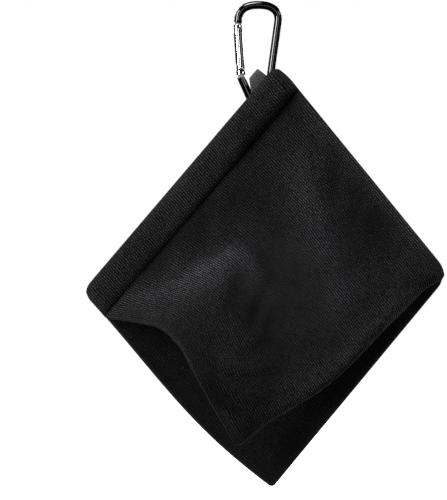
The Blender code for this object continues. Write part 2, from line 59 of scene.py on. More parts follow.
FLOOR_Z = -0.2404
FLOOR_REACH = 9.0

# The towel's corners, sizes and clearances, as in the CAD source.
TOP = np.array((9.504, -27.3))
RIGHT = np.array((95.276, -132.842))
BOTTOM = np.array((6.943, -239.517))
LEFT = np.array((-87.913, -141.361))
MOUTH_EDGE = 150.0
CLOSED_EDGE = 136.0
LOWER_LEFT_BOW = 4.5
HEM = 0.12335
PANEL_TOP = 0.14247
ROUNDINGS = (
    (0.0, 0.0, (12.0, 5.0)),
    (0.0, 1.0, (6.0, 6.0)),
    (1.0, 0.0, (9.0, 9.0)),
    (1.0, 1.0, (2.5, 2.5)),
)
WEBBING_THICKNESS = 1.2
WEBBING_WIDTH = 20.0
WEBBING_FROM_CORNER = 7.0
GAP = 0.3
SEAM_HALF_GAP = 0.65
ROD_RADIUS = 2.0
BACK_BOW = 5.0
CLOTH = 1.9
BAND_CLOTH = 3.8
SEAM_TUCK = 0.002
RIB_PITCH = 1.25
BEAD_PITCH = 1.45
LEAF_LENGTH = 138
POCKET_LENGTH = 118
LEAF_DROP = 119
SETTLE_LIMIT = 3.5
SETTLE_STEPS = 30


# Shapes of the towel


def clamp01(x):
    return np.clip(x, 0.0, 1.0)


def ease(x):
    x = clamp01(x)
    return x * x * (3 - 2 * x)


def towel(down, along):
    """Points (x, z) of the flat towel from shares down from the mouth and along from the closed edge."""
    down, along = np.broadcast_arrays(np.asarray(down, float), np.asarray(along, float))
    d, a = down[..., None], along[..., None]
    flat = (TOP * (1 - d) + RIGHT * d) * (1 - a) + (LEFT * (1 - d) + BOTTOM * d) * a
    edge = (BOTTOM - LEFT) / np.linalg.norm(BOTTOM - LEFT)
    bow = LOWER_LEFT_BOW * np.sin(math.pi * clamp01(down) ** 1.5) * np.maximum(0, along) ** 2
    return flat + bow[..., None] * np.array((edge[1], -edge[0]))


def rounded(down, along):
    """The shares of points once the four corners are rounded."""
    down, along = (np.array(x, float) for x in np.broadcast_arrays(down, along))
    for corner_down, corner_along, (first, second) in ROUNDINGS:
        first_share, second_share = first / CLOSED_EDGE, second / MOUTH_EDGE
        x = 1 - abs(down - corner_down) / first_share
        y = 1 - abs(along - corner_along) / second_share
        inside = (x > 0) & (y > 0)
        x, y = np.where(inside, x, 0), np.where(inside, y, 0)
        x, y = x * np.sqrt(1 - y * y / 2), y * np.sqrt(1 - x * x / 2)
        new_down = corner_down + np.copysign((1 - x) * first_share, 0.5 - corner_down)
        new_along = corner_along + np.copysign((1 - y) * second_share, 0.5 - corner_along)
        down, along = np.where(inside, new_down, down), np.where(inside, new_along, along)
    return down, along


def half_gap(down, along):
    """Half the space between the leaves in the hem, wide where the webbing loop and the rod pass."""
    loop_room = ROD_RADIUS + GAP + WEBBING_THICKNESS + GAP
    tail_room = WEBBING_THICKNESS + GAP
    from_closed = along * MOUTH_EDGE
    loop_end = WEBBING_FROM_CORNER + WEBBING_WIDTH
    rise = 1 - (1 - np.minimum(1.0, from_closed / (WEBBING_FROM_CORNER - 0.5))) ** 2
    fall = 1 - ease((from_closed - loop_end - 2) / (2 * WEBBING_WIDTH))
    room = tail_room + (loop_room - tail_room) * fall
    room = room + (tail_room - room) * ease((down / HEM - 0.62) / 0.38)
    end = ease((1 - along) * MOUTH_EDGE / (3 * 16.5))
    return SEAM_HALF_GAP + (room - SEAM_HALF_GAP) * np.minimum(rise, end)


def spline(points, steps=8):
    """Points along a Catmull-Rom curve through the given ones."""
    p = np.array(points, float)
    p = np.vstack((2 * p[0] - p[1], p, 2 * p[-1] - p[-2]))
    made = []
    for a, b, c, d in zip(p, p[1:], p[2:], p[3:]):
        for t in np.arange(steps) / steps:
            cubic = (3 * b - a - 3 * c + d) * t**3
            made.append((2 * b + (c - a) * t + (2 * a - 5 * b + 4 * c - d) * t**2 + cubic) / 2)
    return np.array([*made, p[-2]])


def at_share(curve, share):
    """Points at shares of a curve's length."""
    lengths = np.concatenate(([0], np.cumsum(np.linalg.norm(np.diff(curve, axis=0), axis=1))))
    at = np.asarray(share) * lengths[-1]
    return np.stack([np.interp(at, lengths, curve[:, k]) for k in range(curve.shape[1])], -1)


def ridge(place, line, heights, above, below):
    """A long soft ridge over a line, with its own width on each side."""
    line = spline(line, 6)
    heights = np.interp(np.linspace(0, 1, len(line)), np.linspace(0, 1, len(heights)), heights)
    nearest = np.full(place.shape[:-1], 1e9)
    found = np.zeros(place.shape[:-1])
    for a, b, low, high in zip(line, line[1:], heights, heights[1:]):
        run = b - a
        t = clamp01(((place - a) @ run) / (run @ run))
        off = place - (a + t[..., None] * run)
        far = np.linalg.norm(off, axis=-1)
        side = run[0] * off[..., 1] - run[1] * off[..., 0]
        width = np.where(side > 0, above, below)
        value = (low + (high - low) * t) * np.exp(-((far / width) ** 2))
        closer = far < nearest
        nearest = np.where(closer, far, nearest)
        found = np.where(closer, value, found)
    return found


def waves(place, length, seed):
    """Smooth unevenness between about -1 and 1, from a few crossing waves."""
    made = np.zeros(place.shape[:-1])
    source = np.random.default_rng(seed)
    for _ in range(7):
        turn = source.uniform(0, 2 * math.pi)
        size = source.uniform(0.7, 1.6) * length
        across = place @ np.array((math.cos(turn), math.sin(turn)))
        made += np.sin(2 * math.pi * across / size + source.uniform(0, 6.28))
    return made / 3.5


# Front leaf: (x, z, depth) along its four edges

OVER_POCKET = [
    (-76.9, -152.7, 1.5), (-74.6, -154.8, 4.0), (-66.5, -155.8, 13.0), (-58.0, -157.2, 21.5),
    (-51.5, -158.6, 27.5), (-46.0, -161.8, 33.0), (-39.6, -168.4, 39.0), (-35.2, -176.0, 42.0),
    (-29.7, -186.5, 42.0), (-23.4, -197.5, 35.0), (-17.4, -207.6, 22.5), (-12.6, -216.2, 10.5),
    (-11.8, -217.0, 10.0),
]
LOWER_RIGHT = [
    (92.0, -132.7, 1.6), (91.8, -135.0, 2.4), (88.6, -137.2, 3.2), (84.3, -139.6, 3.8),
    (79.8, -143.6, 4.2), (71.3, -152.4, 4.6), (64.8, -158.6, 5.0), (52.8, -171.2, 5.8),
    (41.3, -182.6, 6.8), (29.8, -191.6, 7.8), (18.0, -198.6, 8.6), (4.5, -206.6, 9.4),
    (-8.4, -216.6, 10.0), (-11.8, -217.0, 10.0),
]

# Lines that the front leaf's folds and its painted light and shade in the pile follow, as (x, z).
FOLD_RIDGE = [
    (-70, -144), (-58, -141.5), (-45, -137.5), (-23, -125.5),
    (-10, -120), (-1, -126), (3, -136), (5, -146),
]
UPRIGHT_RIDGE = [(17, -68), (24, -88), (31, -108), (37, -128), (40, -146)]
HOLLOW = [(-9, -143), (-2, -152), (4, -163), (8, -174)]
ABOVE_FOLD = [(-66, -135), (-33, -108), (-14, -95)]
EAR = [(90.5, -135.2), (78, -133.0), (62, -130.5)]
UNDER_EAR = [(89, -137.0), (78, -135.0), (66, -133.0)]
RIGHT_VALLEY = [(40, -84), (50, -102), (58, -116)]
UPPER_VALLEY = [(-6, -64), (-2, -86), (4, -104)]
SEAM_VALLEY = [(-70, -140), (-40, -106), (-12, -72), (8, -50)]
LOW_RIM = [(80, -138), (50, -166), (26, -188), (2, -202)]
RIGHT_RIM = [(22, -44), (52, -80), (82, -118)]

# Streaks of painted light and shade in the pile: share, line, heights along it, width above it, width below it.
PILE_AND_SHADING_STREAKS = (
    (-0.9, UNDER_EAR, (1.0, 1.0, 0.3), 1.4, 1.4),
    (0.62, UPRIGHT_RIDGE, (0.2, 0.8, 1.0, 1.0, 0.6), 9.0, 10.0),
    (0.35, LOW_RIM, (0.5, 1.0, 1.0, 0.6), 7.0, 7.0),
    (0.5, RIGHT_RIM, (0.5, 1.0, 1.0), 5.0, 5.0),
    (-0.5, HOLLOW, (0.7, 1.0, 1.0, 0.3), 8.0, 8.0),
    (-0.45, RIGHT_VALLEY, (0.5, 1.0, 0.8), 9.0, 9.0),
    (-0.35, UPPER_VALLEY, (1.0, 1.0, 0.6), 12.0, 12.0),
    (-0.55, ABOVE_FOLD, (0.6, 1.0, 0.8), 9.0, 9.0),
)
PILE_SHADING_REST = 0.12

# Folds in depth: forward or back, line, heights along it, width above it, width below it.
FOLDS = (
    (1, FOLD_RIDGE, (1.0, 3.0, 5.5, 8.0, 8.0, 6.5, 3.0, 0.0), 6.5, 17.0),
    (1, UPRIGHT_RIDGE, (0.0, 6.0, 8.5, 5.5, 0.0), 13.0, 15.0),
    (-1, HOLLOW, (1.0, 4.0, 3.5, 0.0), 9.0, 9.0),
    (-1, ABOVE_FOLD, (0.6, 2.4, 1.0), 9.0, 9.0),
)
SIDE_DEPTH = 1.1
BAND_OVER_SEAM = 0.2
POCKET_SPREAD = 0.24
POCKET_FALL = 1.35
LOW_FALL = 2.2
LEAF_FULLNESS = 3.4


def nap_and_painted_shading(place):
    """Painted light and shade with the pile's own lie: lighter (over 0) along the ridges and rims, darker (under
    0) in the hollows, valleys and under the ear, with a little uneven tone.
    """
    made = ridge(place, FOLD_RIDGE, (0.3, 0.4, 0.6, 0.95, 1.0, 0.8, 0.4, 0.0), 3.5, 12.0) - PILE_SHADING_REST
    for share, line, heights, above, below in PILE_AND_SHADING_STREAKS:
        made = made + share * ridge(place, line, heights, above, below)
    made = made + 0.12 * waves(place, 24, 41) + 0.08 * waves(place, 9, 43)
    return made - 0.3 * ridge(place, SEAM_VALLEY, (0.4, 1.0, 1.0, 1.0), 6.0, 6.0)


def front_place(u, v):
    """Front leaf's middle (x, z) and depth. u runs from the closed edge, v from the seam, both 0 to 1."""
    u, v = np.broadcast_arrays(np.asarray(u, float), np.asarray(v, float))
    start = HEM - SEAM_TUCK
    top_xz = towel(*rounded(start, u))
    top_depth = half_gap(HEM, u) + BAND_OVER_SEAM
    side_xz = towel(*rounded(start + (1 - start) * v, np.zeros_like(v)))
    left = at_share(spline(OVER_POCKET), v)
    low = at_share(spline(LOWER_RIGHT), u)
    corners = [towel(*rounded(start, 0.0)), towel(*rounded(start, 1.0)), low_end(0), low_end(-1)]
    u3, v3 = u[..., None], v[..., None]
    place = (1 - u3) * side_xz + u3 * left[..., :2] + (1 - v3) * top_xz + v3 * low[..., :2]
    place = place - (1 - u3) * (1 - v3) * corners[0] - u3 * (1 - v3) * corners[1]
    place = place - (1 - u3) * v3 * corners[2] - u3 * v3 * corners[3]

    near_left = np.exp(-((1 - u) / POCKET_SPREAD) ** POCKET_FALL) - math.exp(-(1 / POCKET_SPREAD) ** POCKET_FALL)
    near_low = v**LOW_FALL
    depth = (1 - near_left) * SIDE_DEPTH + near_left * left[..., 2]
    depth = depth + (1 - near_low) * top_depth + near_low * low[..., 2]
    top_left, top_right = half_gap(HEM, 1.0) + BAND_OVER_SEAM, half_gap(HEM, 0.0) + BAND_OVER_SEAM
    depth = depth - (1 - near_left) * (1 - near_low) * top_right - near_left * (1 - near_low) * top_left
    low_right, low_left = LOWER_RIGHT[0][2], LOWER_RIGHT[-1][2]
    depth = depth - (1 - near_left) * near_low * low_right - near_left * near_low * low_left

    inner = np.minimum.reduce([ease(u * 6), ease(v * 9), ease((1 - v) * 7)])
    free = np.minimum(ease(u * 6), ease(v * 9))
    depth = depth + LEAF_FULLNESS * np.sin(math.pi * u) * np.sin(math.pi * v)
    for way, line, heights, above, below in FOLDS:
        depth = depth + way * ridge(place, line, heights, above, below) * inner
    depth = depth + ridge(place, EAR, (1.4, 2.6, 0.4), 5.0, 1.6) * np.minimum(ease(u * 25), ease((1 - v) * 20))
    depth = depth - ridge(place, SEAM_VALLEY, (0.3, 1.6, 1.6, 0.8), 8.0, 8.0) * free
    depth = depth + 0.55 * waves(place, 30, 3) * free + 0.3 * waves(place, 13, 5) * free
    return place, depth


def low_end(k):
    return np.array(LOWER_RIGHT[k][:2])


# Meshes


def shares(count, low=0.0, high=1.0, rim=0.0):
    """Even shares, with a few more close to each end where a rim is rounded."""
    span = high - low
    extra = np.array((0.0, 0.04, 0.16, 0.36, 0.64)) * rim
    middle = np.linspace(rim, 1 - rim, count)
    return low + span * np.concatenate((extra, middle, 1 - extra[::-1])) if rim else low + span * middle


def rim_shape(distance, radius):
    """Thickness share at a distance from a rounded rim."""
    return np.sqrt(1 - (1 - clamp01(distance / radius)) ** 2)


def closed_sheet(name, middle, thick, uv, wear_and_painted_light, pile_and_painted_shading, towards):
    """A closed cloth from its middle surface in mm. Its two faces meet at the rim, where thick is 0."""
    across = np.gradient(middle, axis=0)
    down = np.gradient(middle, axis=1)
    normal = np.cross(across, down)
    normal /= np.maximum(np.linalg.norm(normal, axis=-1, keepdims=True), 1e-9)
    flip = np.sign(np.mean(normal @ np.array(towards, float)))
    normal *= flip
    nu, nv = thick.shape
    half = thick[..., None] / 2
    faces_of = [middle + normal * half, middle - normal * half]
    index = np.arange(nu * nv).reshape(nu, nv)
    other = index + nu * nv
    for rim in (np.s_[0, :], np.s_[-1, :], np.s_[:, 0], np.s_[:, -1]):
        other[rim] = index[rim]
    points = np.concatenate([side.reshape(-1, 3) for side in faces_of]) * MM
    used, place = np.unique(np.concatenate((index.ravel(), other.ravel())), return_inverse=True)
    place = place.reshape(-1)
    grids = [place[: nu * nv].reshape(nu, nv), place[nu * nv :].reshape(nu, nv)]
    quads = []
    for grid, turn in zip(grids, (1, -1)):
        corner = np.stack([grid[:-1, :-1], grid[1:, :-1], grid[1:, 1:], grid[:-1, 1:]], -1).reshape(-1, 4)
        quads.append(corner[:, :: int(turn * flip)])
    mesh = bpy.data.meshes.new(name)
    mesh.from_pydata(points[used].tolist(), [], np.concatenate(quads).tolist())
    per_point = np.concatenate((uv.reshape(-1, 2), uv.reshape(-1, 2)))[used]
    # Red: edge wear and painted rim sheen; green: the pile's painted light and shade, around 0.5.
    tones = np.stack(np.broadcast_arrays(wear_and_painted_light, 0.5 + 0.25 * pile_and_painted_shading, 0.0, 1.0), -1).reshape(-1, 4)
    tones = np.concatenate((tones, tones))[used]
    loops = np.zeros(len(mesh.loops), np.int32)
    mesh.loops.foreach_get("vertex_index", loops)
    layer = mesh.uv_layers.new(name="cloth")
    layer.data.foreach_set("uv", per_point[loops].astype(np.float32).ravel())
    colour = mesh.color_attributes.new("wear_and_painted_light", "FLOAT_COLOR", "POINT")
    colour.data.foreach_set("color", tones.astype(np.float32).ravel())
    return link(name, mesh)


def softened(field, passes):
    """A grid of values, each moved towards the mean of its neighbours, apart from those near the rims."""
    made = field.copy()
    keep = 6
    for _ in range(passes):
        around = (made[:-2, 1:-1] + made[2:, 1:-1] + made[1:-1, :-2] + made[1:-1, 2:]) / 4
        part = (slice(keep, -keep), slice(keep, -keep))
        made[part] += 0.8 * (around[keep - 1 : 1 - keep, keep - 1 : 1 - keep] - made[part])
    return made


def link(name, mesh):
    mesh.validate()
    mesh.shade_smooth()
    made = bpy.data.objects.new(name, mesh)
    bpy.context.scene.collection.objects.link(made)
    return made


def from_bmesh(name, bm):
    bmesh.ops.recalc_face_normals(bm, faces=bm.faces)
    mesh = bpy.data.meshes.new(name)
    bm.to_mesh(mesh)
    bm.free()
    return link(name, mesh)


def with_y(place, depth):
    """(x, y, z) from places in the towel's plane and depths in front of it."""
    return np.stack((place[..., 0], -depth, place[..., 1]), -1)


def tube_into(bm, path, radius, sides, taper=0.0):
    """Adds a round bar along a path, in mm, with rounded ends where taper is over 0."""
    path = np.asarray(path, float)
    tangent = np.gradient(path, axis=0)
    tangent /= np.linalg.norm(tangent, axis=1, keepdims=True)
    hint = np.array((0.0, 1.0, 0.0)) if abs(tangent[0][1]) < 0.8 else np.array((0.0, 0.0, 1.0))
    turns = np.arange(sides) * 2 * math.pi / sides
    rings = []
    for k, (point, t) in enumerate(zip(path, tangent)):
        normal = np.cross(t, hint)
        normal /= np.linalg.norm(normal)
        other = np.cross(normal, t)
        size = radius
        if taper:
            end = min(k, len(path) - 1 - k)
            size = radius * (0.45, 0.85, 1.0)[min(end, 2)]
        spokes = [(normal * math.cos(a) + other * math.sin(a)) * size for a in turns]
        rings.append([bm.verts.new(Vector(point + spoke) * MM) for spoke in spokes])
    for low, high in zip(rings, rings[1:]):
        for k in range(sides):
            after = (k + 1) % sides
            bm.faces.new((low[k], low[after], high[after], high[k]))
    bm.faces.new(rings[0])
    bm.faces.new(rings[-1])


# Node materials


class Nodes:
    """A short way to write node trees."""

    def __init__(self, name):
        self.material = bpy.data.materials.new(name)
        self.material.use_nodes = True
        self.tree = self.material.node_tree
        self.shader = self.tree.nodes["Principled BSDF"]

    def put(self, socket, value):
        if isinstance(value, bpy.types.NodeSocket):
            self.tree.links.new(value, socket)
        else:
            socket.default_value = value

    def add(self, kind, out=0, settings=None, **inputs):
        node = self.tree.nodes.new(kind)
        for key, value in (settings or {}).items():
            setattr(node, key, value)
        for key, value in inputs.items():
            self.put(node.inputs[key.replace("_", " ")], value)
        return node.outputs[out]

    def math(self, operation, a, b=0.0):
        node = self.tree.nodes.new("ShaderNodeMath")
        node.operation = operation
        self.put(node.inputs[0], a)
        self.put(node.inputs[1], b)
        return node.outputs[0]

    def mix(self, share, a, b):
        node = self.tree.nodes.new("ShaderNodeMix")
        node.data_type = "RGBA"
        self.put(node.inputs["Factor"], share)
        self.put(node.inputs["A"], (*a, 1.0) if isinstance(a, tuple) else a)
        self.put(node.inputs["B"], (*b, 1.0) if isinstance(b, tuple) else b)
        return node.outputs["Result"]

    def noise(self, scale, detail=2.0, rough=0.5, vector=None):
        node = self.tree.nodes.new("ShaderNodeTexNoise")
        node.inputs["Scale"].default_value = scale
        node.inputs["Detail"].default_value = detail
        node.inputs["Roughness"].default_value = rough
        if vector is None:
            vector = self.add("ShaderNodeTexCoord", 3)
        self.put(node.inputs["Vector"], vector)
        return node.outputs["Fac"]

    def between(self, value, low, high, to_low=0.0, to_high=1.0):
        node = self.tree.nodes.new("ShaderNodeMapRange")
        for k, part in enumerate((value, low, high, to_low, to_high)):
            self.put(node.inputs[k], part)
        return node.outputs[0]

    def bump(self, height, strength, distance):
        made = self.add("ShaderNodeBump", Height=height, Strength=strength, Distance=distance)
        self.put(self.shader.inputs["Normal"], made)

    def set(self, **values):
        for key, value in values.items():
            self.put(self.shader.inputs[key.replace("_", " ")], value)


def terry(name, dark, light, smooth=0.0):
    """Microfibre terry: rows of small loops along v, one row to a pitch of u, under a short fuzz."""
    n = Nodes(name)
    uv = n.add("ShaderNodeUVMap", settings={"uv_map": "cloth"})
    u, v, _ = split(n, uv)
    wander = n.math("MULTIPLY", n.math("SUBTRACT", n.noise(420, 1.0), 0.5), 0.9)
    row_place = n.math("DIVIDE", n.math("ADD", u, wander), RIB_PITCH)
    row = n.math("SINE", n.math("MULTIPLY", row_place, 2 * math.pi))
    turn = n.math("MULTIPLY", n.math("FLOOR", n.math("ADD", row_place, 0.25)), math.pi)
    bead_place = n.math("MULTIPLY", n.math("ADD", v, wander), 2 * math.pi / BEAD_PITCH)
    bead = n.math("SINE", n.math("ADD", bead_place, turn))
    row01 = n.math("MULTIPLY_ADD", row, 0.5)
    row01.node.inputs[2].default_value = 0.5
    bead01 = n.math("MULTIPLY_ADD", bead, 0.22)
    bead01.node.inputs[2].default_value = 0.78
    loops = n.math("MULTIPLY", row01, bead01)
    fuzz = n.noise(1900, 3.0, 0.65)
    height = n.math("ADD", n.math("MULTIPLY", loops, 1.0 - smooth), n.math("MULTIPLY", fuzz, 0.55))
    tone = n.math("POWER", n.between(height, 0.16, 1.15), 2.6)
    speck = n.between(n.noise(1100, 3.0, 0.75), 0.36, 0.70, 0.1, 2.2)
    tone = n.math("MULTIPLY", tone, speck)
    cloudy = n.between(n.noise(38, 2.0, 0.55), 0.32, 0.7, 0.72, 1.28)
    tone = n.math("MULTIPLY", tone, cloudy)
    base = n.mix(tone, dark, light)
    # The red channel lightens the rims (edge wear and painted rim sheen); the green one scales the colour up or
    # down, as painted light and shade in the pile.
    kept = n.add("ShaderNodeVertexColor", settings={"layer_name": "wear_and_painted_light"})
    wear_and_rim_sheen, pile_and_painted_shading, _ = split(n, kept)
    wear_and_rim_sheen = n.math("MULTIPLY", wear_and_rim_sheen, n.between(fuzz, 0.3, 0.75, 0.35, 1.3))
    pile_and_shading_factor = n.math("POWER", 3.6, n.between(pile_and_painted_shading, 0.0, 1.0, -2.0, 2.0))
    shaded = n.add("ShaderNodeVectorMath", settings={"operation": "SCALE"}, Scale=pile_and_shading_factor)
    n.tree.links.new(base, shaded.node.inputs[0])
    # Rims mix towards this lighter grey: edge wear and painted rim sheen.
    n.set(Base_Color=n.mix(wear_and_rim_sheen, shaded, (0.017, 0.017, 0.018)), Roughness=0.95)
    n.set(Sheen_Weight=0.008, Sheen_Roughness=0.35, Sheen_Tint=(0.6, 0.6, 0.63, 1.0))
    n.set(Specular_IOR_Level=0.04)
    n.bump(height, 0.75, 0.0006)
    return n.material


def split(n, vector):
    node = n.tree.nodes.new("ShaderNodeSeparateXYZ")
    n.tree.links.new(vector, node.inputs[0])
    return node.outputs


def woven_webbing():
    """Flat webbing: thick weft ribs across, crossed by fine warp columns in a herringbone."""
    n = Nodes("woven_webbing")
    uv = n.add("ShaderNodeUVMap", settings={"uv_map": "cloth"})
    u, v, _ = split(n, uv)
    fold = n.math("ABSOLUTE", n.math("SUBTRACT", n.math("FRACT", n.math("DIVIDE", u, 3.4)), 0.5))
    slant = n.math("ADD", v, n.math("MULTIPLY", fold, 2.6))
    weft = n.math("SINE", n.math("MULTIPLY", slant, 2 * math.pi / 1.05))
    warp = n.math("SINE", n.math("MULTIPLY", u, 2 * math.pi / 0.85))
    height = n.math("ADD", n.math("MULTIPLY", weft, 0.3), n.math("MULTIPLY", warp, 0.2))
    fibre = n.noise(2600, 3.0, 0.6)
    height = n.math("ADD", height, n.math("MULTIPLY", fibre, 0.5))
    tone = n.between(height, -0.2, 0.75)
    n.set(Base_Color=n.mix(tone, (0.001, 0.001, 0.001), (0.032, 0.032, 0.034)), Roughness=0.8)
    n.set(Sheen_Weight=0.03, Sheen_Roughness=0.4, Specular_IOR_Level=0.15)
    n.bump(height, 0.9, 0.0008)
    return n.material


def thread_material():
    n = Nodes("sewing_thread")
    twist = n.add("ShaderNodeTexWave", 1, settings={"wave_type": "BANDS"}, Scale=420.0, Distortion=2.0)
    twist.node.bands_direction = "DIAGONAL"
    n.tree.links.new(n.add("ShaderNodeTexCoord", 3), twist.node.inputs["Vector"])
    n.set(Base_Color=n.mix(twist, (0.003, 0.003, 0.003), (0.016, 0.016, 0.017)), Roughness=0.7)
    n.set(Specular_IOR_Level=0.1)
    n.bump(twist, 0.5, 0.0002)
    return n.material


def black_enamel():
    """Glossy black anodised rod, with a faint unevenness and lighter rubbed spots."""
    n = Nodes("glossy_black_rod")
    uneven = n.noise(260, 2.0)
    rubbed = n.between(n.noise(900, 4.0, 0.7), 0.66, 0.8, 0.0, 0.5)
    n.set(Base_Color=n.mix(rubbed, (0.0004, 0.0004, 0.0004), (0.002, 0.002, 0.002)))
    n.set(Roughness=n.between(uneven, 0.3, 0.7, 0.03, 0.05), Metallic=0.0)
    n.set(Specular_IOR_Level=0.3)
    return n.material


def polished_steel(name, tone, rough):
    """Turned steel with fine rings around its length."""
    n = Nodes(name)
    place = n.add("ShaderNodeTexCoord", 3)
    settings = {"vector_type": "POINT"}
    stretch = n.add("ShaderNodeMapping", settings=settings, Vector=place, Scale=(300.0, 300.0, 500.0))
    lines = n.noise(1.0, 2.0, 0.6, stretch)
    smudge = n.noise(320, 3.0)
    n.set(Base_Color=n.mix(smudge, tuple(t * 0.86 for t in tone), tone), Metallic=1.0)
    n.set(Roughness=n.between(lines, 0.3, 0.7, rough * 0.85, rough * 1.15))
    return n.material


# Cloth pieces


def towards_front_grid(u, v):
    place, depth = front_place(u[:, None], v[None, :])
    return with_y(place, depth)


def settle(u, v):
    """How far gravity and a little spare length move the front leaf from its laid-out form, in mm."""
    laid = towards_front_grid(u, v)
    nu, nv = laid.shape[:2]
    index = np.arange(nu * nv).reshape(nu, nv)
    quads = np.stack([index[:-1, :-1], index[1:, :-1], index[1:, 1:], index[:-1, 1:]], -1).reshape(-1, 4)
    mesh = bpy.data.meshes.new("settling")
    mesh.from_pydata((laid.reshape(-1, 3) * MM).tolist(), [], quads.tolist())
    cloth = link("settling", mesh)
    hold = np.full((nu, nv), 0.08)
    hold[:, -3:] = hold[-3:, :] = 0.5
    hold[:, -1] = hold[-1, :] = 0.97
    hold[:, 0] = hold[0, :] = hold[1, :] = 1.0
    group = cloth.vertex_groups.new(name="held")
    for k, weight in enumerate(hold.ravel()):
        group.add([k], float(weight), "REPLACE")
    modifier = cloth.modifiers.new("cloth", "CLOTH")
    facts = modifier.settings
    facts.quality = 6
    facts.mass = 0.12
    facts.tension_stiffness = facts.compression_stiffness = 12
    facts.shear_stiffness = 4
    facts.bending_stiffness = 1.6
    facts.tension_damping = facts.compression_damping = 8
    facts.vertex_group_mass = "held"
    facts.pin_stiffness = 1.0
    facts.shrink_min = -0.012
    modifier.collision_settings.use_collision = False
    modifier.point_cache.frame_start = 1
    modifier.point_cache.frame_end = SETTLE_STEPS
    scene = bpy.context.scene
    for step in range(1, SETTLE_STEPS + 1):
        scene.frame_set(step)
    settled = cloth.evaluated_get(bpy.context.evaluated_depsgraph_get())
    moved = np.zeros(nu * nv * 3, np.float32)
    settled.data.vertices.foreach_get("co", moved)
    scene.frame_set(1)
    bpy.data.objects.remove(cloth, do_unlink=True)
    shift = moved.reshape(nu, nv, 3) / MM - laid
    far = np.linalg.norm(shift, axis=-1, keepdims=True)
    return shift * np.minimum(1, SETTLE_LIMIT / np.maximum(far, 1e-6))


def on_grid(values, u_from, v_from, u, v):
    """Values of an even grid at other shares."""
    across = np.stack([np.stack([np.interp(u, u_from, values[:, j, k]) for j in range(len(v_from))], 1)
                       for k in range(3)], -1)
    return np.stack([np.stack([np.interp(v, v_from, across[i, :, k]) for i in range(len(u))], 0)
                     for k in range(3)], -1)


def front_leaf(material):
    u = shares(120, rim=0.014)
    v = shares(112, rim=0.014)
    middle = towards_front_grid(u, v)
    even_u, even_v = np.linspace(0, 1, 85), np.linspace(0, 1, 79)
    middle = middle + on_grid(settle(even_u, even_v), even_u, even_v, u, v)
    middle[..., 1] = np.minimum(softened(middle[..., 1], 8), -CLOTH / 2 - 0.15)
    grid_u, grid_v = np.broadcast_arrays(u[:, None], v[None, :])
    from_closed = grid_u * LEAF_LENGTH
    middle[..., 1] *= rim_shape(from_closed, 1.6)
    from_pocket = (1 - grid_u) * POCKET_LENGTH
    from_seam = grid_v * LEAF_DROP
    from_low = (1 - grid_v) * LEAF_DROP
    rim = np.minimum.reduce([rim_shape(from_closed, 1.6), rim_shape(from_pocket, 1.1),
                             rim_shape(from_seam, 1.6), rim_shape(from_low, 1.1)])
    # Lighter rims, partly edge wear and partly painted sheen, most along the lower free edge.
    wear_and_painted_light = 0.55 * np.exp(-((from_low / 0.9) ** 2)) + 0.16 * np.exp(-((from_pocket / 0.9) ** 2))
    wear_and_painted_light = wear_and_painted_light + 0.16 * np.exp(-((from_closed / 3.0) ** 2))
    start = HEM - SEAM_TUCK
    uv = np.stack((grid_u * MOUTH_EDGE, (start + (1 - start) * grid_v) * CLOSED_EDGE), -1)
    # Painted light and shade in the pile, and a painted shade in the crease just below the seam.
    pile_and_painted_shading = softened(nap_and_painted_shading(front_place(u[:, None], v[None, :])[0]), 8) - 1.3 * np.exp(-((from_seam / 1.7) ** 2))
    piece = closed_sheet("front_leaf", middle, CLOTH * rim, uv, wear_and_painted_light, pile_and_painted_shading, (0, -1, 0))
    piece.data.materials.append(material)
    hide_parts("front_panel", "front_flap")
    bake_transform(piece)
    return piece


def back_depth(down, along):
    below = (down - PANEL_TOP) / (1 - PANEL_TOP)
    bow = np.sin(math.pi * clamp01(along) * 0.5) * np.sin(math.pi * (0.08 + 0.84 * clamp01(below)))
    seam = half_gap(HEM, along)
    start = seam + (SEAM_HALF_GAP - seam) * ease(4 * below)
    inner = start + BACK_BOW * np.maximum(0, bow) * ease(along * 6)
    return 0.15 + (inner - 0.15) * ease(along * MOUTH_EDGE / 6)


def back_leaf(material):
    u = shares(100, rim=0.014)
    down = shares(96, HEM - SEAM_TUCK, 1.0, rim=0.014)
    grid_u, grid_down = np.broadcast_arrays(u[:, None], down[None, :])
    place = towel(*rounded(grid_down, grid_u))
    depth = back_depth(grid_down, grid_u)
    free = np.minimum(ease(grid_u * 6), ease((grid_down - HEM) * 9))
    depth = depth + (0.5 * waves(place, 34, 11) + 0.2 * waves(place, 12, 13) + 0.4) * free
    from_closed = grid_u * 145
    from_left = (1 - grid_u) * 145
    from_seam = (grid_down - down[0]) * CLOSED_EDGE
    from_low = (1 - grid_down) * CLOSED_EDGE
    rim = np.minimum.reduce([rim_shape(from_closed, 1.6), rim_shape(from_left, 1.3),
                             rim_shape(from_seam, 1.6), rim_shape(from_low, 1.3)])
    # Lighter rims, partly edge wear and partly painted sheen.
    wear_and_painted_light = 0.22 * np.exp(-((from_low / 1.2) ** 2)) + 0.22 * np.exp(-((from_left / 1.2) ** 2))
    wear_and_painted_light = wear_and_painted_light + 0.16 * np.exp(-((from_closed / 3.0) ** 2))
    middle = with_y(place, -(depth + CLOTH / 2) * rim_shape(from_closed, 1.6))
    uv = np.stack((grid_u * MOUTH_EDGE, grid_down * CLOSED_EDGE), -1)
    # The pile channel at -0.2 is painted shade: the whole back leaf a little darker.
    piece = closed_sheet("back_leaf", middle, CLOTH * rim, uv, wear_and_painted_light, -0.2 + 0 * wear_and_painted_light, (0, 1, 0))
    piece.data.materials.append(material)
    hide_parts("back_panel")
    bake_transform(piece)
    return piece


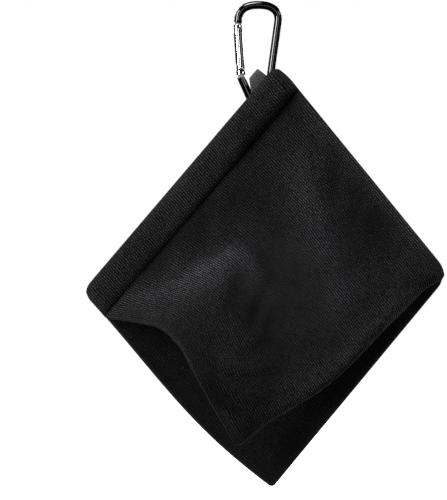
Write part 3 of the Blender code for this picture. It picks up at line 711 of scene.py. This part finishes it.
def hem_band(name, side, node, material):
    """The folded hem: thick and round along the mouth, drawn in along its seam and at its ends."""
    u = shares(150, rim=0.02)
    down = shares(26, 0.0, HEM + 0.004, rim=0.12)
    grid_u, grid_down = np.broadcast_arrays(u[:, None], down[None, :])
    place = towel(*rounded(grid_down, grid_u))
    from_seam = (HEM + 0.004 - grid_down) * CLOSED_EDGE
    from_mouth = grid_down * CLOSED_EDGE
    ends = np.minimum(grid_u, 1 - grid_u) * MOUTH_EDGE
    rim = np.minimum.reduce([rim_shape(from_mouth, 5.5), rim_shape(from_seam, 6.5), rim_shape(ends, 6.0)])
    pucker = 1 + 0.05 * waves(place, 22, 21 + side) + 0.015 * waves(place, 9, 31 + side)
    thick = BAND_CLOTH * rim * pucker
    gap = half_gap(np.minimum(grid_down, HEM), grid_u)
    gap = 0.15 + (gap - 0.15) * ease(ends / 7)
    depth = side * (gap + thick / 2)
    # Lighter along the mouth fold and the ends, partly edge wear and partly painted sheen.
    wear_and_painted_light = 0.10 * np.exp(-((from_mouth / 2.5) ** 2)) + 0.1 * np.exp(-((ends / 3.0) ** 2))
    uv = np.stack((grid_u * MOUTH_EDGE, grid_down * CLOSED_EDGE), -1)
    # Painted light on the band's crown just below the mouth, painted shade in the crease along its seam, and the
    # band a little darker overall.
    pile_and_painted_shading = 0.1 * np.exp(-(((from_mouth - 4.5) / 4.0) ** 2)) - 1.5 * np.exp(-((from_seam / 2.2) ** 2)) - 0.12
    piece = closed_sheet(name, with_y(place, depth), thick, uv, wear_and_painted_light, pile_and_painted_shading, (0, -side, 0))
    piece.data.materials.append(material)
    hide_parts(node)
    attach(piece, "hem")
    return piece


def stitches(name, path, normal, length, space, radius, material, body, nodes):
    """A row of short threads that dip into the cloth at both ends."""
    path = np.asarray(path, float)
    lengths = np.concatenate(([0], np.cumsum(np.linalg.norm(np.diff(path, axis=0), axis=1))))
    bm = bmesh.new()
    at = 0.0
    while at + length < lengths[-1]:
        t = np.linspace(0, 1, 7)
        points = np.stack([np.interp(at + t * length, lengths, path[:, k]) for k in range(3)], -1)
        points += np.array(normal) * (radius * 1.5 * (np.sin(math.pi * t)[:, None] - 0.55))
        tube_into(bm, points, radius, 8, taper=1.0)
        at += length + space
    piece = from_bmesh(name, bm)
    piece.data.materials.append(material)
    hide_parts(*nodes)
    if body:
        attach(piece, body)
    else:
        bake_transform(piece)
    return piece


def hem_stitches(material):
    rows = (("front_hem_stitches", 1, "front_hem_thread"), ("back_hem_stitches", -1, "back_hem_thread"))
    for name, side, node in rows:
        along = np.linspace(0.03, 0.975, 120)
        place = towel(*rounded(HEM + 0.005, along))
        path = with_y(place, side * (half_gap(HEM, along) + 1.0))
        stitches(name, path, (0, -side, 0), 2.3, 0.5, 0.22, material, None, [node])
    down = np.linspace(0.78 * HEM, HEM, 10)
    zigzag = towel(down, 0.982 + 0.006 * (np.arange(10) % 2))
    path = with_y(zigzag, np.full(10, float(half_gap(HEM, 0.98)) + 1.5))
    stitches("left_corner_bartack", path, (0, -1, 0), 1.5, 0.12, 0.24, material, "hem", ["left_corner_tack"])


def webbing(material):
    """The loop's strip, from one sewn end over the carabiner's bend to the other."""
    along = (LEFT - TOP) / np.linalg.norm(LEFT - TOP)
    down_way = np.array((-along[1], along[0]))
    down_way = down_way * np.sign(-down_way[1])
    half_way = np.linspace(0, 1, 40) ** 1.6
    place = np.concatenate((-half_way[:0:-1], half_way))
    width = shares(22, rim=0.03)
    w, a = np.broadcast_arrays(width[:, None], place[None, :])
    p = abs(a)
    fold = TOP + along * (8.5 + w[..., None] * 6.4) - down_way * 5.4
    tail = TOP + along * (WEBBING_FROM_CORNER + w[..., None] * WEBBING_WIDTH) + down_way * 15.0
    bow = along * (2.6 * w * np.sin(math.pi * p))[..., None]
    xz = fold + (tail - fold) * p[..., None] + bow
    eye = 2.35 + WEBBING_THICKNESS / 2
    opening = np.sqrt(clamp01(1 - (1 - clamp01(p / 0.13)) ** 2))
    closing = 1 - ease((p - 0.55) / 0.3)
    half = eye * opening * closing + (WEBBING_THICKNESS / 2 + 0.05) * (1 - closing)
    crease = 0.25 * np.sin(2 * math.pi * w * 2.5) * (1 - ease(p / 0.5))
    depth = np.sign(a) * half + crease
    from_side = np.minimum(w, 1 - w) * 16
    from_end = (1 - p) * 20
    rim = np.minimum(rim_shape(from_side, 0.6), rim_shape(from_end, 0.6))
    uv = np.stack((w * WEBBING_WIDTH, a * 21.5), -1)
    plain = np.zeros_like(w)
    piece = closed_sheet("webbing_strip", with_y(xz, depth), WEBBING_THICKNESS * rim, uv, plain, plain, (0, 0, 1))
    piece.data.materials.append(material)
    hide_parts("webbing_loop")
    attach(piece, "hem")
    return piece


# Carabiner

PIVOT = np.array((-8.854, -29.991))
GATE_WAY = np.array((-0.0668, 0.99777))
GATE_SIDE = np.array((0.99777, 0.0668))
NOSE_END = np.array((-10.4, -6.9))
BEND_CENTRE = np.array((0.674, -45.95))
BEND_RADIUS = 3.75
KNEE = np.array((-8.547, -34.581))
NOSE_HEIGHT = 23.143


def gate_at(height, side=0.0):
    return PIVOT + GATE_WAY * height + GATE_SIDE * side


def rod_line():
    turn = math.pi * (1 - np.linspace(0, 1, 41))
    x = np.copysign(abs(np.cos(turn)) ** (2 / 2.4), np.cos(turn)) * 10
    z = -5.5 + 7.5 * np.abs(np.sin(turn)) ** (2 / 2.4)
    arch = np.stack((x, z), -1)
    angles = np.linspace(math.radians(-7.8), math.radians(-155.8), 25)
    bend = BEND_CENTRE + BEND_RADIUS * np.stack((np.cos(angles), np.sin(angles)), -1)
    spine = np.linspace(arch[-1], bend[0], 14)[1:-1]
    shoulder = gate_at(-4.1)
    run = (bend[-1] - KNEE) / np.linalg.norm(bend[-1] - KNEE)
    knee = [KNEE + run * 1.6, KNEE + run * 0.6, KNEE + GATE_WAY * 0.25]
    lower = np.linspace(bend[-1], knee[0], 10)[1:-1]
    return np.concatenate((NOSE_END[None], arch, spine, bend, lower, knee, shoulder[None]))


def plate_into(bm, outline, thickness):
    """Adds a flat plate with its outline in the plane Y = 0."""
    sides = [[bm.verts.new(Vector((x, y, z)) * MM) for x, z in outline] for y in (-thickness / 2, thickness / 2)]
    for k in range(len(outline)):
        after = (k + 1) % len(outline)
        bm.faces.new((sides[0][k], sides[0][after], sides[1][after], sides[1][k]))
    bm.faces.new(sides[0])
    bm.faces.new(sides[1])


def carabiner_rod(material):
    path = rod_line()
    path = np.stack((path[:, 0], 0 * path[:, 0], path[:, 1]), -1)
    bm = bmesh.new()
    tube_into(bm, path, ROD_RADIUS, 32)
    ends = [f for f in bm.faces if len(f.verts) == 32]
    rims = [e for f in ends for e in f.edges]
    bmesh.ops.bevel(bm, geom=rims, offset=0.35 * MM, segments=3, affect="EDGES", profile=0.6)
    pin = NOSE_HEIGHT - 4.0 + 0.9 + 0.5 + GAP
    notch = 0.8
    hook = [(NOSE_HEIGHT + 0.5, -1.3), (NOSE_HEIGHT - 4.0, -1.3), (NOSE_HEIGHT - 4.0, 1.3), (pin - notch, 1.3),
            (pin - notch, -notch), (pin + notch, -notch), (pin + notch, 1.3), (NOSE_HEIGHT + 0.5, 1.3)]
    plate_into(bm, [gate_at(h, s) for h, s in hook], 1.5)
    tongue = [(-4.9, -1.5), (-4.9, 1.5), (0.2, 1.5), (1.2, 0.9), (1.5, 0.0), (1.2, -0.9), (0.2, -1.5)]
    plate_into(bm, [gate_at(h, s) for h, s in tongue], 1.5)
    piece = from_bmesh("carabiner_rod", bm)
    piece.data.set_sharp_from_angle(angle=math.radians(50))
    piece.data.materials.append(material)
    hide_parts("carabiner_body")
    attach(piece, "carabiner")
    return piece


def lathe_along_gate(name, profile, sides):
    """A closed ring turned about the gate's axis from (height, radius) pairs."""
    bm = bmesh.new()
    rings = []
    for height, radius in profile:
        centre = gate_at(height)
        ring = []
        for k in range(sides):
            a = 2 * math.pi * k / sides
            x, z = centre + GATE_SIDE * (radius * math.cos(a))
            ring.append(bm.verts.new(Vector((x, radius * math.sin(a), z)) * MM))
        rings.append(ring)
    for low, high in zip(rings, rings[1:] + rings[:1]):
        for k in range(sides):
            after = (k + 1) % sides
            bm.faces.new((low[k], low[after], high[after], high[k]))
    return from_bmesh(name, bm)


def gate(material):
    top = NOSE_HEIGHT - 0.7
    profile = [(-3.0, 1.75), (-3.0, 2.3), (-2.75, 2.55), (-0.9, 2.55), (-0.6, 2.32)]
    profile += [(height, 2.3) for height in np.linspace(0.0, top - 0.5, 16)]
    profile += [(top - 0.15, 2.18), (top, 1.95), (top, 1.75), (18.1, 1.75), (18.1, 0.02), (17.9, 0.02)]
    profile += [(height, 1.75) for height in np.linspace(17.9, -2.0, 12)]
    piece = lathe_along_gate("gate_sleeve", profile, 48)
    for name, low, high in (("cut_low", -5.0, 2.7), ("cut_high", NOSE_HEIGHT - 5.0, top + 3)):
        bm = bmesh.new()
        plate_into(bm, [gate_at(low, -6), gate_at(high, -6), gate_at(high, 6), gate_at(low, 6)], 2.1)
        cutter = from_bmesh(name, bm)
        cut = piece.modifiers.new(name, "BOOLEAN")
        cut.object, cut.operation, cut.solver = cutter, "DIFFERENCE", "EXACT"
    settled = bpy.data.meshes.new_from_object(piece.evaluated_get(bpy.context.evaluated_depsgraph_get()))
    piece.modifiers.clear()
    piece.data = settled
    for name in ("cut_low", "cut_high"):
        bpy.data.objects.remove(bpy.data.objects[name], do_unlink=True)
    settled.shade_smooth()
    settled.set_sharp_from_angle(angle=math.radians(42))
    settled.materials.clear()
    settled.materials.append(material)
    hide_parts("gate_tube")
    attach(piece, "gate")
    return piece


def rivet(material):
    """A pin with a low dome on each side of the gate."""
    bm = bmesh.new()
    stations = [(3.02, 0.05), (3.0, 0.4), (2.9, 0.85), (2.72, 1.15), (2.5, 1.28), (2.45, 1.28), (2.45, 0.65)]
    stations += [(-y, radius) for y, radius in reversed(stations)]
    rings = []
    for y, radius in stations:
        turns = np.arange(28) * 2 * math.pi / 28
        ring = [Vector((PIVOT[0] + radius * math.cos(a), y, PIVOT[1] + radius * math.sin(a))) * MM for a in turns]
        rings.append([bm.verts.new(p) for p in ring])
    for low, high in zip(rings, rings[1:]):
        for k in range(28):
            after = (k + 1) % 28
            bm.faces.new((low[k], low[after], high[after], high[k]))
    bm.faces.new(rings[0])
    bm.faces.new(rings[-1])
    piece = from_bmesh("gate_rivet", bm)
    piece.data.set_sharp_from_angle(angle=math.radians(50))
    piece.data.materials.append(material)
    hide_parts("gate_pivot_rivet")
    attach(piece, "carabiner")
    return piece


# Stage


def stage_material():
    """A pale floor that glows a little, so that shadows on it stay faint, and is dark in mirror reflections."""
    n = Nodes("pale_floor")
    tone = n.between(n.noise(3.0, 2.0), 0.3, 0.7, 0.42, 0.45)
    grey = n.add("ShaderNodeCombineColor", Red=tone, Green=tone, Blue=tone)
    n.set(Base_Color=grey, Roughness=0.34, Specular_IOR_Level=0.3)
    n.set(Emission_Color=(1.0, 1.0, 1.0, 1.0), Emission_Strength=1.0)
    path = n.tree.nodes.new("ShaderNodeLightPath")
    dark = n.tree.nodes.new("ShaderNodeEmission")
    dark.inputs["Color"].default_value = (0.02, 0.02, 0.02, 1.0)
    either = n.tree.nodes.new("ShaderNodeMixShader")
    output = next(node for node in n.tree.nodes if node.type == "OUTPUT_MATERIAL")
    lit = output.inputs["Surface"].links[0].from_socket
    n.tree.links.new(path.outputs["Is Glossy Ray"], either.inputs[0])
    n.tree.links.new(lit, either.inputs[1])
    n.tree.links.new(dark.outputs["Emission"], either.inputs[2])
    n.tree.links.new(either.outputs[0], output.inputs["Surface"])
    return n.material


def pale_floor():
    bm = bmesh.new()
    corners = ((-1, -1), (1, -1), (1, 1), (-1, 1))
    bm.faces.new([bm.verts.new((x * FLOOR_REACH, y * FLOOR_REACH, FLOOR_Z)) for x, y in corners])
    floor = from_bmesh("pale_floor", bm)
    floor.data.materials.append(stage_material())


# Lamps: name, place, width, height, power, and the point it faces.
LAMPS = (
    ("key_panel", (-1.25, -1.05, 0.25), 0.9, 1.2, 3.5, (0.0, 0.0, -0.08)),
    ("key_tube", (-1.19, -1.0, 0.24), 0.3, 1.2, 84, (0.0, 0.0, -0.08)),
    ("overhead", (-0.35, -0.7, 1.45), 0.7, 0.7, 56, (0.0, 0.0, -0.13)),
    ("front_strip", (0.0, -2.1, 0.0), 0.5, 0.12, 2.2, (0.0, 0.0, -0.08)),
    ("right_panel", (1.3, -0.95, 0.0), 0.45, 1.2, 1.1, (0.0, 0.0, -0.06)),
    ("right_tube", (1.2, -1.0, 0.53), 0.3, 0.4, 7, (0.0, 0.0, -0.06)),
    ("back_left", (-1.0, 1.5, 0.7), 0.8, 0.8, 42, (0.0, 0.0, -0.13)),
    ("back_right", (1.2, 1.2, 0.3), 0.5, 1.0, 30, (0.0, 0.0, -0.13)),
)


def lamp(name, place, size, size_y, power, target):
    light = bpy.data.lights.new(name, "AREA")
    light.energy = power
    light.shape = "RECTANGLE"
    light.size = size
    light.size_y = size_y
    made = bpy.data.objects.new(name, light)
    made.location = place
    made.rotation_euler = (Vector(target) - Vector(place)).to_track_quat("-Z", "Y").to_euler()
    made.visible_camera = False
    bpy.context.scene.collection.objects.link(made)


def studio():
    world = bpy.data.worlds.new("studio")
    bpy.context.scene.world = world
    world.use_nodes = True
    tree = world.node_tree
    background = tree.nodes["Background"]
    background.inputs["Color"].default_value = (1.0, 1.0, 1.0, 1.0)
    path = tree.nodes.new("ShaderNodeLightPath")
    soft = tree.nodes.new("ShaderNodeMapRange")
    soft.inputs["To Min"].default_value = 0.04
    soft.inputs["To Max"].default_value = 0.13
    seen = tree.nodes.new("ShaderNodeMapRange")
    seen.inputs["To Max"].default_value = 1.0
    tree.links.new(path.outputs["Is Diffuse Ray"], soft.inputs["Value"])
    tree.links.new(path.outputs["Is Camera Ray"], seen.inputs["Value"])
    tree.links.new(soft.outputs[0], seen.inputs["To Min"])
    tree.links.new(seen.outputs[0], background.inputs["Strength"])
    for name, place, size, size_y, power, target in LAMPS:
        lamp(name, place, size, size_y, power, target)
    camera_data = bpy.data.cameras.new("camera")
    camera = bpy.data.objects.new("camera", camera_data)
    bpy.context.scene.collection.objects.link(camera)
    camera.location = (VIEW_CENTRE[0], -CAMERA_DISTANCE, VIEW_CENTRE[2])
    camera.rotation_euler = (math.pi / 2, 0.0, 0.0)
    camera_data.sensor_width = SENSOR
    camera_data.lens = SENSOR * CAMERA_DISTANCE / VIEW_HEIGHT
    camera_data.clip_end = 30.0
    bpy.context.scene.camera = camera
    bpy.context.scene.view_settings.view_transform = "Standard"


studio()
pale_floor()

terry_front = terry("terry_front", (0.0003, 0.0003, 0.0004), (0.0126, 0.0126, 0.0134))
terry_back = terry("terry_back", (0.0003, 0.0003, 0.0004), (0.0115, 0.0115, 0.0122), smooth=0.35)
webbing_cloth = woven_webbing()
thread = thread_material()
enamel = black_enamel()
steel = polished_steel("polished_gate_steel", (0.36, 0.36, 0.37), 0.12)
spring_wire = polished_steel("drawn_spring_steel", (0.55, 0.55, 0.57), 0.3)

front = front_leaf(terry_front)
back = back_leaf(terry_back)
front_band = hem_band("front_hem", 1, "front_hem_band", terry_front)
back_band = hem_band("back_hem", -1, "back_hem_band", terry_back)
hem_stitches(thread)
webbing(webbing_cloth)
carabiner_rod(enamel)
gate(steel)
rivet(steel)

carried_over = {
    "gate_latch_pin": steel,
    "gate_spring": spring_wire,
    "spring_plunger": spring_wire,
    "webbing_tack": thread,
    "side_seam_thread": thread,
}
for node, finish in carried_over.items():
    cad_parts[node].data.materials.clear()
    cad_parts[node].data.materials.append(finish)
